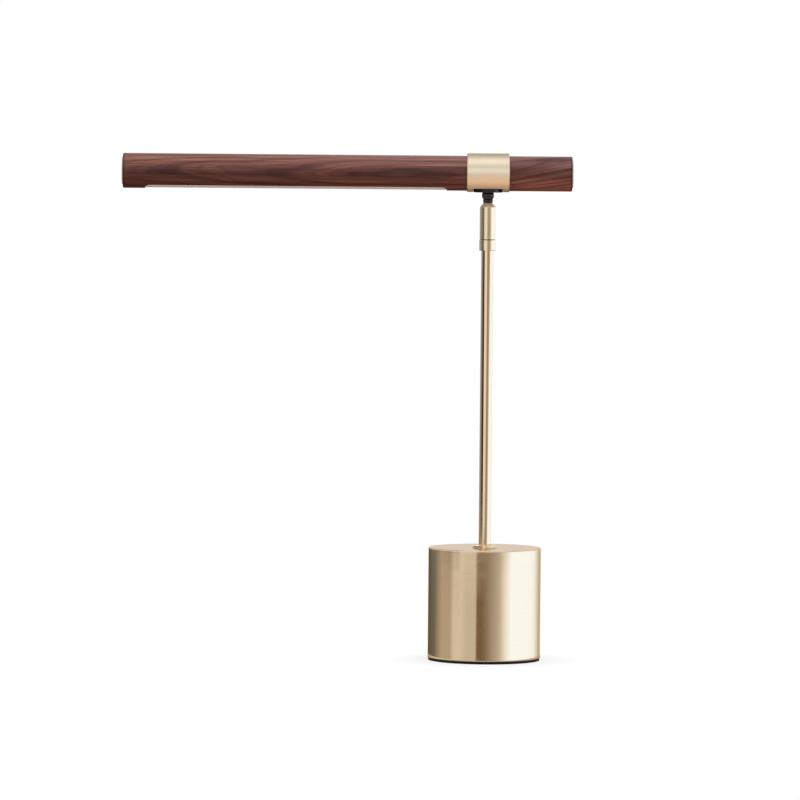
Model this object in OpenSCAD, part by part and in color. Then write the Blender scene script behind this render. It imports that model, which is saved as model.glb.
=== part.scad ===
// Adjustable desk lamp: a walnut light bar carried off centre on a slim brass stem, with a swivel and a
// spring-loaded ball joint under the bar, and a heavy drum base. Millimetres, +Z up, origin on the table
// at the centre of the foot pad. The bar lies along X with its long end towards -X. The back is +Y.

/* [Base] */
// Diameter of the drum
base_d = 100; // [84:1:130]
// Height of the drum above the foot pad
base_h = 98; // [84:1:130]
// Thickness of the drum's side wall above the weight
base_wall = 4; // [3:0.5:6]
// Thickness of the drum's top
base_top_t = 3; // [2:0.5:6]
// Rounding of the drum's top edge
base_top_round = 0.8; // [0.3:0.1:1.5]
// Rounding of the drum's lower edge
base_foot_round = 0.5; // [0.4:0.1:1.8]
// Depth of the ledge inside the drum that the weight is drawn up against
weight_ledge = 1; // [0.6:0.1:1.5]
// Height of the iron weight
weight_h = 30; // [24:1:38]
// Thickness of the foot pad
pad_t = 2; // [1:0.5:4]
// How far the foot pad stays inside the drum's edge
pad_inset = 0.5; // [0.5:0.1:3]

/* [Stem] */
// Outer diameter of the stem
stem_d = 11; // [9:0.5:13]
// Wall of the stem
stem_wall = 1.5; // [1:0.1:2]
// Height of the bare stem, from the drum's top to the ferrule
stem_rise = 263.6; // [150:0.1:400]
// Diameter of the flange at the stem's foot
collar_d = 23; // [18:0.5:30]
// Height of that flange
collar_h = 1.4; // [1:0.1:4]
// Width of the bevel round the flange
collar_bevel = 1.6; // [0.5:0.1:2]
// Depth of the pocket under the weight for the stem's nut
nut_pocket_h = 12; // [11:0.5:16]
// Thickness of the washer under the weight
stem_washer_t = 2; // [1:0.5:3]
// Height of the stem's nut
stem_nut_h = 6; // [4:0.5:7]

/* [Swivel] */
// Diameter of the ferrule on top of the stem
ferrule_d = 14.7; // [14:0.1:20]
// Height of the ferrule
ferrule_h = 9.6; // [8:0.1:16]
// Depth of the ferrule's socket for the stem
ferrule_socket = 5.4; // [3:0.1:6]
// Thickness of the washer in the swivel's seam
seam_t = 0.5; // [0.4:0.1:1.5]
// Diameter of the swivel barrel
barrel_d = 14.1; // [13.4:0.1:20]
// Height of the barrel's straight side
barrel_h = 28.5; // [25:0.1:45]
// Wall of the barrel
barrel_wall = 1.25; // [1:0.05:1.6]
// Height of the barrel's shoulder
shoulder_h = 3.5; // [1.5:0.1:6]
// Diameter of the hollow pivot screw
pivot_d = 5; // [4.6:0.1:5.6]
// Height of the bearing plug in the barrel's lower end
plug_h = 4.6; // [4:0.1:7]
// Diameter of the stop pin
stop_pin_d = 1.2; // [0.8:0.1:1.3]
// How far the swivel turns each way
swivel_limit = 165; // [90:1:165]

/* [Ball joint] */
// Diameter of the ball
ball_d = 11; // [10.4:0.1:14]
// Height of the ball's centre above the cup's rim
ball_lift = 3.8; // [3.2:0.1:4.2]
// Height of the ball's cup above the barrel's shoulder
cup_h = 3.2; // [2.6:0.1:8]
// Thickness of the cup round its mouth
cup_rim = 0.5; // [0.4:0.05:1.5]
// How much the cup narrows from its rim to its foot, on each side
cup_taper = 0.5; // [0.1:0.1:0.8]
// How far the cup reaches into the barrel
cup_spigot = 2.2; // [1.5:0.1:2.4]
// Wall of the cup's spigot round the tension rod
cup_spigot_wall = 1.4; // [1:0.1:2]
// Wall of the hollow ball
ball_wall = 1.95; // [1.6:0.05:2.1]
// Thickness of the domed pressure washer
dome_t = 1.05; // [0.8:0.05:1.15]
// Diameter of the hollow tension rod
rod_d = 2.5; // [2.2:0.1:2.6]
// Wall of the tension rod
rod_wall = 0.5; // [0.3:0.05:0.55]
// How far the bar's long end tips up or down
tilt_limit = 25; // [5:1:25]
// How far the bar rolls about its length, each way
roll_limit = 20; // [5:1:20]
// Diameter of the threaded stud on the ball
stud_d = 10; // [9.2:0.1:10.6]
// Number of disc springs on the tension rod
spring_count = 6; // [2:1:8]
// Height of one disc spring
spring_h = 0.9; // [0.7:0.05:1]
// Height of the tension rod's nut
rod_nut_h = 3; // [2:0.1:3.4]

/* [Bar] */
// Diameter of the walnut bar
bar_d = 31; // [30:0.5:45]
// Length of the walnut bar
bar_l = 398; // [380:1:600]
// Wall of the walnut bar
bar_wall = 4; // [3:0.1:4.4]
// Rounding of the bar's ends
bar_end_round = 0.9; // [0.4:0.1:2]
// Length of the bar's short end, from the stem's axis
bar_overhang = 74.5; // [45:0.5:90]
// Length of the brass sleeve
sleeve_l = 37.5; // [34:0.5:50]
// Wall of the brass sleeve
sleeve_wall = 2.3; // [1.6:0.1:4]
// Bevel at each end of the sleeve
sleeve_bevel = 0.7; // [0.2:0.1:1]
// Depth of the flat along the sleeve's underside
sleeve_flat = 1.4; // [0.3:0.1:1.4]
// Diameter of the clamp plate under the sleeve
plate_d = 26; // [20:0.5:30]
// Thickness of the clamp plate
plate_t = 3.3; // [2.4:0.1:5]
// Height of the clamp plate's lower bevel
plate_bevel = 0.5; // [0.3:0.1:1.8]
// Height of the clamp plate above the ball's centre
plate_lift = 2.5; // [1:0.1:3.2]
// Depth of the flat on the bar that the clamp plate seats on
bar_flat = 2; // [0.4:0.1:2.2]
// How far an end cap's disc stands out from the bar's end
cap_stand = 1; // [1:0.1:4]
// How far an end cap's disc laps over the bar's end face
cap_lap = 0.8; // [0.4:0.1:1.5]
// Rounding of an end cap's rim
cap_round = 0.7; // [0.2:0.1:0.8]
// How far an end cap reaches into the bar
cap_spigot = 9; // [5:0.5:12]

/* [Light] */
// From the stem's axis to the near end of the light slot in the bar's underside
slot_offset = 36.5; // [30:0.5:80]
// Width of the light slot
slot_w = 18; // [16:0.5:19]
// Corner radius of the light slot
slot_corner = 4.6; // [2:0.1:7]
// From the bar's long end to the light slot
slot_setback = 19.5; // [18:0.5:26]
// How far the diffuser stays inside the bar's round
diffuser_inset = 0.7; // [0.3:0.1:1.5]
// Thickness of the diffuser
diffuser_t = 1.6; // [1:0.1:2.2]
// Depth of the channel's flat face below the bar's axis
channel_drop = 4.8; // [4:0.1:5.4]
// Wall of the aluminium channel
channel_wall = 2.2; // [1.5:0.1:3]
// Width of the light board
board_w = 13; // [10:0.5:13]
// Thickness of the light board
board_t = 1.2; // [0.8:0.1:1.6]
// Number of light chips
led_count = 24; // [10:1:30]
// Length and width of a light chip
led_size = 3; // [2:0.1:4]
// Height of a light chip
led_h = 0.8; // [0.4:0.1:1]

/* [Switch and cord inlet] */
// Height of the switch above the table
switch_z = 66; // [62:1:74]
// Diameter of the switch's bezel
bezel_d = 16; // [14:0.5:18]
// Height of the switch's bezel
bezel_h = 1.8; // [1:0.1:3]
// Diameter of the push button
button_d = 8; // [7:0.1:8.6]
// How far the button stands out of its bezel
button_rise = 2.8; // [2.4:0.1:4]
// Travel of the button
button_travel = 2; // [1:0.1:2.2]
// Diameter of the switch's threaded bush
bush_d = 11; // [10.4:0.1:12]
// Length of the switch's housing inside the drum
housing_l = 14; // [12:0.5:18]
// Height of the cord inlet above the table
inlet_z = 44; // [42:1:46]
// Diameter of the cord that the inlet takes
inlet_d = 6.4; // [5:0.1:6.6]
// Diameter of the inlet's outer flange
inlet_flange_d = 14; // [12.6:0.1:15]
// Thickness of the inlet's flanges
inlet_flange_t = 1.8; // [1:0.1:2.5]
// Wall of the inlet's bush
inlet_wall = 1.7; // [1.2:0.1:2]

/* [Driver and leads] */
// Length of the light driver
driver_l = 40; // [30:1:44]
// Depth of the light driver
driver_w = 20; // [14:1:22]
// Height of the light driver
driver_h = 22; // [14:1:26]
// Diameter of the lead in the stem
stem_lead_d = 2.4; // [1.5:0.1:2.6]
// Diameter of the lead through the ball joint
head_lead_d = 1.2; // [0.8:0.1:1.2]
// Bend radius of the leads
lead_bend = 4; // [3:0.5:5]

/* [Fits] */
// Radial clearance of pieces that turn or slide in each other
running_fit = 0.05; // [0.02:0.01:0.08]
// Radial clearance of pieces that stay put
seat_fit = 0.1; // [0.05:0.01:0.2]

/* [Hidden] */
$fn = 96;
// How far a cut runs past the face that it opens
past = 1;

// Colours, as the photograph shows them
brass_tint = [0.80, 0.68, 0.47];
walnut_tint = [0.42, 0.26, 0.21];
black_tint = [0.07, 0.07, 0.09];
steel_tint = [0.66, 0.67, 0.69];
iron_tint = [0.28, 0.28, 0.29];
rubber_tint = [0.06, 0.06, 0.06];
nylon_tint = [0.16, 0.14, 0.12];
alloy_tint = [0.78, 0.79, 0.80];
opal_tint = [0.93, 0.92, 0.94];
board_tint = [0.92, 0.93, 0.90];
chip_tint = [0.95, 0.88, 0.55];
driver_tint = [0.86, 0.86, 0.84];
lead_tint = [0.55, 0.12, 0.10];

// Radii
base_r = base_d / 2;
shell_r = base_r - base_wall;
weight_seat_r = shell_r + weight_ledge;
weight_r = weight_seat_r - seat_fit;
stem_r = stem_d / 2;
stem_bore_r = stem_r - stem_wall;
stem_hole_r = stem_r + seat_fit;
collar_r = collar_d / 2;
ferrule_r = ferrule_d / 2;
barrel_r = barrel_d / 2;
barrel_bore_r = barrel_r - barrel_wall;
plug_r = barrel_bore_r - seat_fit;
pivot_r = pivot_d / 2;
pivot_wall = 1.1;
pivot_bore_r = pivot_r - pivot_wall;
pivot_head_r = barrel_bore_r - 0.9;
stop_pin_r = stop_pin_d / 2;
stop_r = (pivot_r + plug_r) / 2;
ball_r = ball_d / 2;
cup_bowl_r = ball_r + running_fit;
cup_r = sqrt(cup_bowl_r * cup_bowl_r - ball_lift * ball_lift) + cup_rim;
cup_foot_r = cup_r - cup_taper;
cavity_r = ball_r - ball_wall;
dome_r = cavity_r - running_fit;
dome_bore_r = dome_r - dome_t;
rod_head_r = dome_bore_r - running_fit;
rod_r = rod_d / 2;
rod_bore_r = rod_r - rod_wall;
rod_hole_r = rod_r + running_fit;
cup_spigot_r = rod_hole_r + cup_spigot_wall;
stud_r = stud_d / 2;
bar_r = bar_d / 2;
bar_bore_r = bar_r - bar_wall;
sleeve_bore_r = bar_r + running_fit;
sleeve_r = bar_r + sleeve_wall;
plate_r = plate_d / 2;
cap_r = bar_bore_r + cap_lap;
button_r = button_d / 2;
bezel_r = bezel_d / 2;
bush_r = bush_d / 2;
inlet_r = inlet_d / 2;
inlet_bush_r = inlet_r + inlet_wall;
inlet_flange_r = inlet_flange_d / 2;
stem_lead_r = stem_lead_d / 2;
head_lead_r = head_lead_d / 2;

// Heights, from the table up
base_top = pad_t + base_h;
weight_top = pad_t + weight_h;
shell_ceiling = base_top - base_top_t;
pocket_top = pad_t + nut_pocket_h;
stem_nut_top = pocket_top - stem_washer_t;
stem_nut_z = stem_nut_top - stem_nut_h;
stem_end = stem_nut_z - 1;
ferrule_z = base_top + stem_rise;
stem_top = ferrule_z + ferrule_socket;
ferrule_top = ferrule_z + ferrule_h;
barrel_z = ferrule_top + seam_t;
plug_top = barrel_z + plug_h;
pivot_spring_h = 0.9;
pivot_head_h = 1.6;
pivot_head_z = plug_top + running_fit + pivot_spring_h;
pivot_top = pivot_head_z + pivot_head_h;
shoulder_z = barrel_z + barrel_h;
barrel_roof = shoulder_z - 1.5;
cup_z = shoulder_z + shoulder_h;
cup_spigot_z = cup_z - cup_spigot;
rim_z = cup_z + cup_h;
ball_z = rim_z + ball_lift;
plate_z = ball_z + plate_lift;
plate_top = plate_z + plate_t;
bar_z = plate_top - bar_flat + bar_r;
// Depth of the sleeve's wall where the plate seats, from the bar's axis
plate_side = sqrt(pow(sleeve_r, 2) - pow(bar_z - plate_top, 2));
spring_washer_t = 0.8;
spring_foot = barrel_roof - spring_count * spring_h;
rod_nut_top = spring_foot - spring_washer_t;
rod_nut_z = rod_nut_top - rod_nut_h;
rod_end = rod_nut_z - 1;

// Along the bar, from the stem's axis
bar_x0 = bar_overhang - bar_l;
slot_x0 = bar_x0 + slot_setback;
slot_x1 = -slot_offset;
slot_l = slot_x1 - slot_x0;
slot_x = (slot_x0 + slot_x1) / 2;
channel_lap = 6;
channel_x0 = slot_x0 - channel_lap;
channel_x1 = slot_x1 + channel_lap;
seat_w = plate_d + 4 * seat_fit;

// Swivel's stop: the groove stops the pin at the swivel's limits
stop_groove_w = stop_pin_d + 4 * seat_fit;
stop_groove_h = 1.3;
stop_pin_reach = 1;
stop_pin_half_angle = asin((stop_pin_r + seat_fit) / stop_r);

// Ball joint: the widest tilt of both directions together, and the mouth that clears the tension rod
joint_cone = acos(cos(tilt_limit) * cos(roll_limit)) + 1;
mouth_apex = (rod_r + seat_fit) / sin(joint_cone);
dome_open = roll_limit + asin((rod_r + seat_fit) / dome_bore_r) + 1;
dome_edge = 88;

// Clamp inside the bar
saddle_l = 18;
saddle_w = 14;
saddle_t = 3;
stud_nut_h = 4;
stud_nut_af = stud_d + 4;
saddle_top = bar_z - bar_bore_r + saddle_t;
stud_nut_top = saddle_top + stud_nut_h;
stud_top = stud_nut_top + 1;

// Light
diffuser_gap = 0.15;
diffuser_r = bar_r - diffuser_inset;
diffuser_l = slot_l - 2 * diffuser_gap;
diffuser_w = slot_w - 2 * diffuser_gap;
channel_r = bar_bore_r - seat_fit;
channel_face = bar_z - channel_drop;
web_top = channel_face + channel_wall;
clip_h = 0.9;
clip_reach = sqrt(pow(bar_bore_r - seat_fit, 2) - pow(channel_drop + 2.1, 2));
board_l = diffuser_l - 2 * diffuser_t - 6;
board_x0 = slot_x - board_l / 2;
board_x1 = slot_x + board_l / 2;
board_face = channel_face - board_t;
led_pitch = board_l / (led_count + 1);
board_screw_gaps = [2, floor(led_count / 2), led_count - 3];
board_screw_r = 1;
board_screw_head_r = 1.7;
board_screw_head_h = 1;

// Switch and inlet, on flats spot-faced into the drum's back
bezel_seat = spot_face(bezel_r);
bezel_face = bezel_seat + bezel_h;
inlet_seat = spot_face(inlet_flange_r);
housing_r = bush_r + 1.5;
housing_face = wall_inside(housing_r);
housing_back = housing_face - housing_l;
button_floor = bezel_face - 9;
button_back = button_floor + button_travel + 0.4;
button_face = bezel_face + button_rise;
inlet_lock_r = inlet_bush_r + 0.9;
inlet_lock = wall_inside(inlet_lock_r);
inlet_back = inlet_lock - inlet_flange_t;

// Driver and leads
driver_gap = 2;
driver_y1 = -(stem_r + driver_gap);
driver_y0 = driver_y1 - driver_w;
driver_y = (driver_y0 + driver_y1) / 2;
driver_top = weight_top + driver_h;
tab_l = 7;
tab_w = 8;
tab_t = 2;
tab_x = driver_l / 2 + tab_l / 2;
tab_y = driver_y1 - tab_w / 2;
driver_screw_r = 1.5;
driver_screw_head_r = 2.8;
driver_screw_head_h = 1.8;
driver_screw_l = 10;
lead_z = driver_top + 3 + lead_bend;
head_lead_x = board_x1 - 4;
lead_gap = 0.25;

// Where a flat spot-faced into the drum for a disc of radius r lies, measured from the drum's axis
function spot_face(r) = sqrt(base_r * base_r - r * r) - 0.1;

// Where a flat disc of radius r meets the inside of the drum's wall
function wall_inside(r) = sqrt(shell_r * shell_r - r * r) - 0.05;

// Upright round bar from z0 to z1
module disc(r, z0, z1) {
    translate([0, 0, z0])
        cylinder(r = r, h = z1 - z0);
}

// Upright tube from z0 to z1
module ring(r_out, r_in, z0, z1) {
    difference() {
        disc(r_out, z0, z1);
        disc(r_in, z0 - past, z1 + past);
    }
}

// Hexagon of a given width across its flats, from z0 to z1
module hexagon(across, z0, z1) {
    translate([0, 0, z0])
        cylinder(d = across / cos(30), h = z1 - z0, $fn = 6);
}

// Half section of a round with its upper and lower outer edges rounded
module rounded_section(r, z0, z1, low, high) {
    translate([0, z0 + low])
        square([r, z1 - z0 - low - high]);
    translate([0, z0])
        square([r - low, low]);
    translate([0, z1 - high])
        square([r - high, high]);
    translate([r - low, z0 + low])
        circle(low);
    translate([r - high, z1 - high])
        circle(high);
}

// Half section of a ring with its outer edges bevelled
module bevelled_section(r_out, r_in, z0, z1, low, high) {
    polygon([
        [r_in, z0], [r_out - low, z0], [r_out, z0 + low],
        [r_out, z1 - high], [r_out - high, z1], [r_in, z1]
    ]);
}

// Rectangle with round corners, centred
module rounded_rectangle(length, width, corner) {
    square([length - 2 * corner, width], center = true);
    square([length, width - 2 * corner], center = true);
    for (x = [-1, 1], y = [-1, 1])
        translate([x * (length / 2 - corner), y * (width / 2 - corner)])
            circle(corner);
}

// Turns upright pieces to point out of the drum's back at a height z
module at_back(z) {
    translate([0, 0, z])
        rotate([-90, 0, 0])
            children();
}

// Turns upright pieces to lie along the bar's axis
module on_bar() {
    translate([0, 0, bar_z])
        rotate([0, 90, 0])
            children();
}

// Sweeps a section, drawn as the bar's Y and Z, along the bar from x0 to x1
module along_bar(x0, x1) {
    translate([x0, 0, bar_z])
        rotate([90, 0, 90])
            linear_extrude(x1 - x0)
                children();
}

// Quarter bend in the XZ plane, from pointing up at the origin to pointing along +X
module bend(r, radius) {
    translate([radius, 0, 0])
        rotate([90, 0, 0])
            rotate([0, 0, 90])
                rotate_extrude(angle = 90)
                    translate([radius, 0])
                        circle(r);
}

// Base

module base_shell() {
    color(brass_tint)
        difference() {
            rotate_extrude()
                rounded_section(base_r, pad_t, base_top, base_foot_round, base_top_round);
            disc(weight_seat_r, pad_t - past, weight_top);
            disc(shell_r, weight_top - past, shell_ceiling);
            disc(stem_hole_r, shell_ceiling - past, base_top + past);
            at_back(switch_z) {
                disc(bush_r + seat_fit, 0, base_r + past);
                disc(bezel_r + seat_fit, bezel_seat, base_r + past);
            }
            at_back(inlet_z) {
                disc(inlet_bush_r + seat_fit, 0, base_r + past);
                disc(inlet_flange_r + seat_fit, inlet_seat, base_r + past);
            }
        }
}

module base_weight() {
    color(iron_tint)
        difference() {
            disc(weight_r, pad_t, weight_top);
            disc(stem_hole_r, pad_t - past, weight_top + past);
            disc(stem_r + 9, pad_t - past, pocket_top);
            for (side = [-1, 1])
                translate([side * tab_x, tab_y, 0])
                    disc(driver_screw_r + seat_fit, weight_top - driver_screw_l, weight_top + past);
        }
}

module foot_pad() {
    color(rubber_tint)
        disc(base_r - pad_inset, 0, pad_t);
}

module stem() {
    color(brass_tint)
        difference() {
            ring(stem_r, stem_bore_r, stem_end, stem_top);
            translate([0, 0, lead_z])
                rotate([90, 0, 0])
                    disc(stem_lead_r + 0.6, 0, stem_r + past);
        }
}

module stem_collar() {
    color(brass_tint)
        rotate_extrude()
            polygon([
                [stem_hole_r, base_top], [collar_r, base_top], [collar_r, base_top + collar_h / 3],
                [collar_r - collar_bevel, base_top + collar_h], [stem_hole_r, base_top + collar_h]
            ]);
}

module stem_washer() {
    color(steel_tint)
        ring(stem_r + 7, stem_hole_r, stem_nut_top, pocket_top);
}

module stem_nut() {
    color(steel_tint)
        difference() {
            hexagon(stem_d + 6, stem_nut_z, stem_nut_top);
            disc(stem_r + running_fit, stem_nut_z - past, stem_nut_top + past);
        }
}

module led_driver() {
    color(driver_tint)
        difference() {
            union() {
                translate([-driver_l / 2, driver_y0, weight_top])
                    cube([driver_l, driver_w, driver_h]);
                translate([-tab_x - tab_l / 2, tab_y - tab_w / 2, weight_top])
                    cube([2 * tab_x + tab_l, tab_w, tab_t]);
            }
            for (side = [-1, 1])
                translate([side * tab_x, tab_y, 0])
                    disc(driver_screw_r + seat_fit, weight_top - past, weight_top + tab_t + past);
        }
}

module driver_screws() {
    color(steel_tint)
        for (side = [-1, 1])
            translate([side * tab_x, tab_y, weight_top + tab_t]) {
                disc(driver_screw_r, -driver_screw_l, 0);
                disc(driver_screw_head_r, 0, driver_screw_head_h);
            }
}

module cord_inlet() {
    color(black_tint)
        at_back(inlet_z)
            difference() {
                union() {
                    disc(inlet_bush_r, inlet_back, inlet_seat + inlet_flange_t);
                    disc(inlet_flange_r, inlet_seat, inlet_seat + inlet_flange_t);
                    disc(inlet_lock_r, inlet_back, inlet_lock);
                }
                disc(inlet_r, inlet_back - past, inlet_seat + inlet_flange_t + past);
            }
}

module switch_body() {
    terminal = [1, 4, 5];
    color(black_tint)
        at_back(switch_z) {
            difference() {
                union() {
                    disc(bush_r, housing_face - past, bezel_face - 0.3);
                    disc(housing_r, housing_back, housing_face);
                }
                disc(button_r + running_fit, button_floor, bezel_face + past);
            }
            for (side = [-1, 1])
                translate([side * housing_r / 2 - terminal.x / 2, -terminal.y / 2, housing_back - terminal.z])
                    cube([terminal.x, terminal.y, terminal.z + past]);
        }
}

module switch_bezel() {
    color(brass_tint)
        at_back(switch_z)
            rotate_extrude()
                bevelled_section(bezel_r, bush_r + running_fit, bezel_seat, bezel_face, 0, bezel_h / 3);
}

module switch_button() {
    color(black_tint)
        at_back(switch_z)
            rotate_extrude()
                rounded_section(button_r, button_back, button_face, 0.3, 0.8);
}

// Swivel: what stays with the stem

module swivel_ferrule() {
    edge = 0.3;
    color(brass_tint)
        difference() {
            rotate_extrude()
                bevelled_section(ferrule_r, pivot_r + running_fit, ferrule_z, ferrule_top, edge, edge);
            disc(stem_r + running_fit, ferrule_z - past, stem_top);
            translate([stop_r, 0, 0])
                disc(stop_pin_r + running_fit, stem_top - past, ferrule_top + past);
        }
}

module swivel_washer() {
    color(nylon_tint)
        difference() {
            ring(min(ferrule_r, barrel_r) - 0.4, pivot_r + seat_fit, ferrule_top, barrel_z - running_fit);
            translate([stop_r, 0, 0])
                disc(stop_pin_r + seat_fit, ferrule_top - past, barrel_z + past);
        }
}

module stop_pin() {
    color(steel_tint)
        translate([stop_r, 0, 0])
            disc(stop_pin_r, stem_top, barrel_z + stop_pin_reach);
}

module pivot_screw() {
    color(steel_tint)
        difference() {
            union() {
                disc(pivot_r, stem_top, pivot_top);
                disc(pivot_head_r, pivot_head_z, pivot_top);
            }
            disc(pivot_bore_r, stem_top - past, pivot_top + past);
        }
}

module pivot_spring() {
    color(steel_tint)
        disc_spring(pivot_r + seat_fit, pivot_head_r, pivot_head_z - pivot_spring_h, pivot_spring_h);
}

// Conical spring washer that stands on its outer edge
module disc_spring(r_in, r_out, z, height) {
    sheet = height / 2;
    translate([0, 0, z])
        rotate_extrude()
            polygon([[r_out, 0], [r_out, sheet], [r_in, height], [r_in, height - sheet]]);
}

module stem_lead() {
    color(lead_tint) {
        translate([0, driver_y, 0])
            disc(stem_lead_r, driver_top, lead_z - lead_bend);
        translate([0, driver_y, lead_z - lead_bend])
            rotate([0, 0, 90])
                bend(stem_lead_r, lead_bend);
        translate([0, 0, lead_z])
            rotate([-90, 0, 0])
                disc(stem_lead_r, driver_y + lead_bend, -lead_bend);
        translate([0, 0, lead_z + lead_bend])
            rotate([180, 0, -90])
                bend(stem_lead_r, lead_bend);
        disc(stem_lead_r, lead_z + lead_bend, pivot_top);
    }
}

// Swivel: what turns with the barrel

module swivel_barrel() {
    color(brass_tint)
        difference() {
            rotate_extrude()
                polygon([
                    [0, barrel_z], [barrel_r, barrel_z], [barrel_r, shoulder_z],
                    [cup_foot_r, cup_z], [0, cup_z]
                ]);
            disc(barrel_bore_r, barrel_z - past, barrel_roof);
            disc(rod_hole_r, barrel_roof - past, cup_z);
            disc(cup_spigot_r + seat_fit, cup_spigot_z - seat_fit, cup_z + past);
        }
}

module ball_cup() {
    rim_edge = 0.3;
    color(black_tint)
        difference() {
            rotate_extrude()
                polygon([
                    [0, cup_spigot_z], [cup_spigot_r, cup_spigot_z], [cup_spigot_r, cup_z],
                    [cup_foot_r, cup_z], [cup_r, rim_z - rim_edge], [cup_r - rim_edge, rim_z], [0, rim_z]
                ]);
            disc(rod_hole_r, cup_spigot_z - past, rim_z);
            translate([0, 0, ball_z])
                sphere(cup_bowl_r);
        }
}

module barrel_plug() {
    groove_end = swivel_limit + stop_pin_half_angle;
    color(steel_tint)
        difference() {
            ring(plug_r, pivot_r + running_fit, barrel_z, plug_top);
            translate([0, 0, barrel_z - past])
                rotate([0, 0, -groove_end])
                    rotate_extrude(angle = 2 * groove_end)
                        translate([stop_r - stop_groove_w / 2, 0])
                            square([stop_groove_w, past + stop_groove_h]);
        }
}

module tension_rod() {
    color(steel_tint)
        difference() {
            union() {
                disc(rod_r, rod_end, ball_z);
                translate([0, 0, ball_z])
                    sphere(rod_head_r);
            }
            disc(rod_bore_r, rod_end - past, ball_z + rod_head_r + past);
        }
}

module disc_springs() {
    color(steel_tint)
        for (i = [0 : spring_count - 1])
            disc_spring(rod_r + seat_fit, barrel_bore_r - 0.6, spring_foot + i * spring_h, spring_h - 0.05);
}

module spring_washer() {
    color(steel_tint)
        ring(barrel_bore_r - 0.4, rod_r + seat_fit, rod_nut_top, spring_foot);
}

module rod_nut() {
    color(steel_tint)
        difference() {
            hexagon(rod_d + 3, rod_nut_z, rod_nut_top);
            disc(rod_hole_r, rod_nut_z - past, rod_nut_top + past);
        }
}

module barrel_lead() {
    color(lead_tint)
        disc(head_lead_r, pivot_top + lead_gap, ball_z + rod_head_r - lead_gap / 2);
}

// Ball joint

module pressure_washer() {
    span = 2 * dome_r;
    color(nylon_tint)
        translate([0, 0, ball_z])
            rotate_extrude()
                intersection() {
                    difference() {
                        circle(dome_r);
                        circle(dome_bore_r);
                    }
                    polygon([
                        [0, 0],
                        [span * sin(dome_open), -span * cos(dome_open)],
                        [span * sin(dome_edge), -span * cos(dome_edge)]
                    ]);
                }
}

module ball_stud() {
    mouth_depth = 2 * ball_r;
    color(black_tint)
        difference() {
            union() {
                translate([0, 0, ball_z])
                    intersection() {
                        sphere(ball_r);
                        disc(ball_d, -ball_d, plate_lift);
                    }
                disc(stud_r, ball_z, stud_top);
            }
            translate([0, 0, ball_z]) {
                sphere(cavity_r);
                disc(cavity_r, 0, stud_top - ball_z + past);
                rotate_extrude()
                    polygon([
                        [0, mouth_apex],
                        [(mouth_apex + mouth_depth) * tan(joint_cone), -mouth_depth],
                        [0, -mouth_depth]
                    ]);
            }
        }
}

// Head

// Round plate with its front and back trimmed flush with the sleeve's wall, and bevelled like its round ends
module clamp_plate() {
    edge_z = plate_z + plate_bevel;
    foot_y = plate_side - plate_bevel - past;
    color(black_tint)
        intersection() {
            rotate_extrude()
                bevelled_section(plate_r, stud_r + running_fit, plate_z, plate_top, plate_bevel, 0);
            translate([-plate_d / 2 - past, 0, 0])
                rotate([90, 0, 90])
                    linear_extrude(plate_d + 2 * past)
                        polygon([
                            [-plate_side, plate_top + past], [-plate_side, edge_z], [-foot_y, plate_z - past],
                            [foot_y, plate_z - past], [plate_side, edge_z], [plate_side, plate_top + past]
                        ]);
        }
}

module sleeve() {
    flat_z = bar_z - sleeve_r + sleeve_flat;
    color(brass_tint)
        difference() {
            on_bar()
                rotate_extrude()
                    bevelled_section(
                        sleeve_r, sleeve_bore_r, -sleeve_l / 2, sleeve_l / 2, sleeve_bevel, sleeve_bevel);
            room_below(flat_z, sleeve_l + 2 * past);
            room_below(plate_top, seat_w);
        }
}

// Room to cut away under a flat at a height z across the bar, for a length along it
module room_below(z, length) {
    translate([-length / 2, -sleeve_r, z - sleeve_r])
        cube([length, 2 * sleeve_r, sleeve_r]);
}

module saddle_washer() {
    color(steel_tint)
        difference() {
            intersection() {
                on_bar()
                    disc(bar_bore_r - running_fit, -saddle_l / 2, saddle_l / 2);
                translate([-saddle_l / 2, -saddle_w / 2, saddle_top - 2 * saddle_t])
                    cube([saddle_l, saddle_w, 2 * saddle_t]);
            }
            disc(stud_r + seat_fit, plate_top, saddle_top + past);
        }
}

module stud_nut() {
    color(steel_tint)
        difference() {
            hexagon(stud_nut_af, saddle_top, stud_nut_top);
            disc(stud_r + running_fit, saddle_top - past, stud_nut_top + past);
        }
}

module bar() {
    color(walnut_tint)
        difference() {
            on_bar()
                difference() {
                    rotate_extrude()
                        rounded_section(bar_r, bar_x0, bar_overhang, bar_end_round, bar_end_round);
                    disc(bar_bore_r, bar_x0 - past, bar_overhang + past);
                }
            translate([slot_x, 0, bar_z - bar_r - past])
                linear_extrude(bar_r + past)
                    rounded_rectangle(slot_l, slot_w, slot_corner);
            room_below(plate_top, seat_w);
            disc(stud_r + seat_fit, plate_z, bar_z);
        }
}

// Plug that closes the bar's end at x, facing along dir, with a disc that has a round rim
module end_cap(x, dir) {
    translate([x, 0, 0])
        mirror([dir < 0 ? 1 : 0, 0, 0])
            on_bar() {
                rotate_extrude()
                    intersection() {
                        square([cap_r, cap_stand]);
                        union() {
                            square([cap_r, cap_stand - cap_round]);
                            square([cap_r - cap_round, cap_stand]);
                            translate([cap_r - cap_round, cap_stand - cap_round])
                                circle(cap_round);
                        }
                    }
                disc(bar_bore_r - running_fit, -cap_spigot, past / 4);
            }
}

module left_end_cap() {
    color(opal_tint)
        end_cap(bar_x0, -1);
}

module right_end_cap() {
    color(opal_tint)
        end_cap(bar_overhang, 1);
}

// Light

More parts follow.
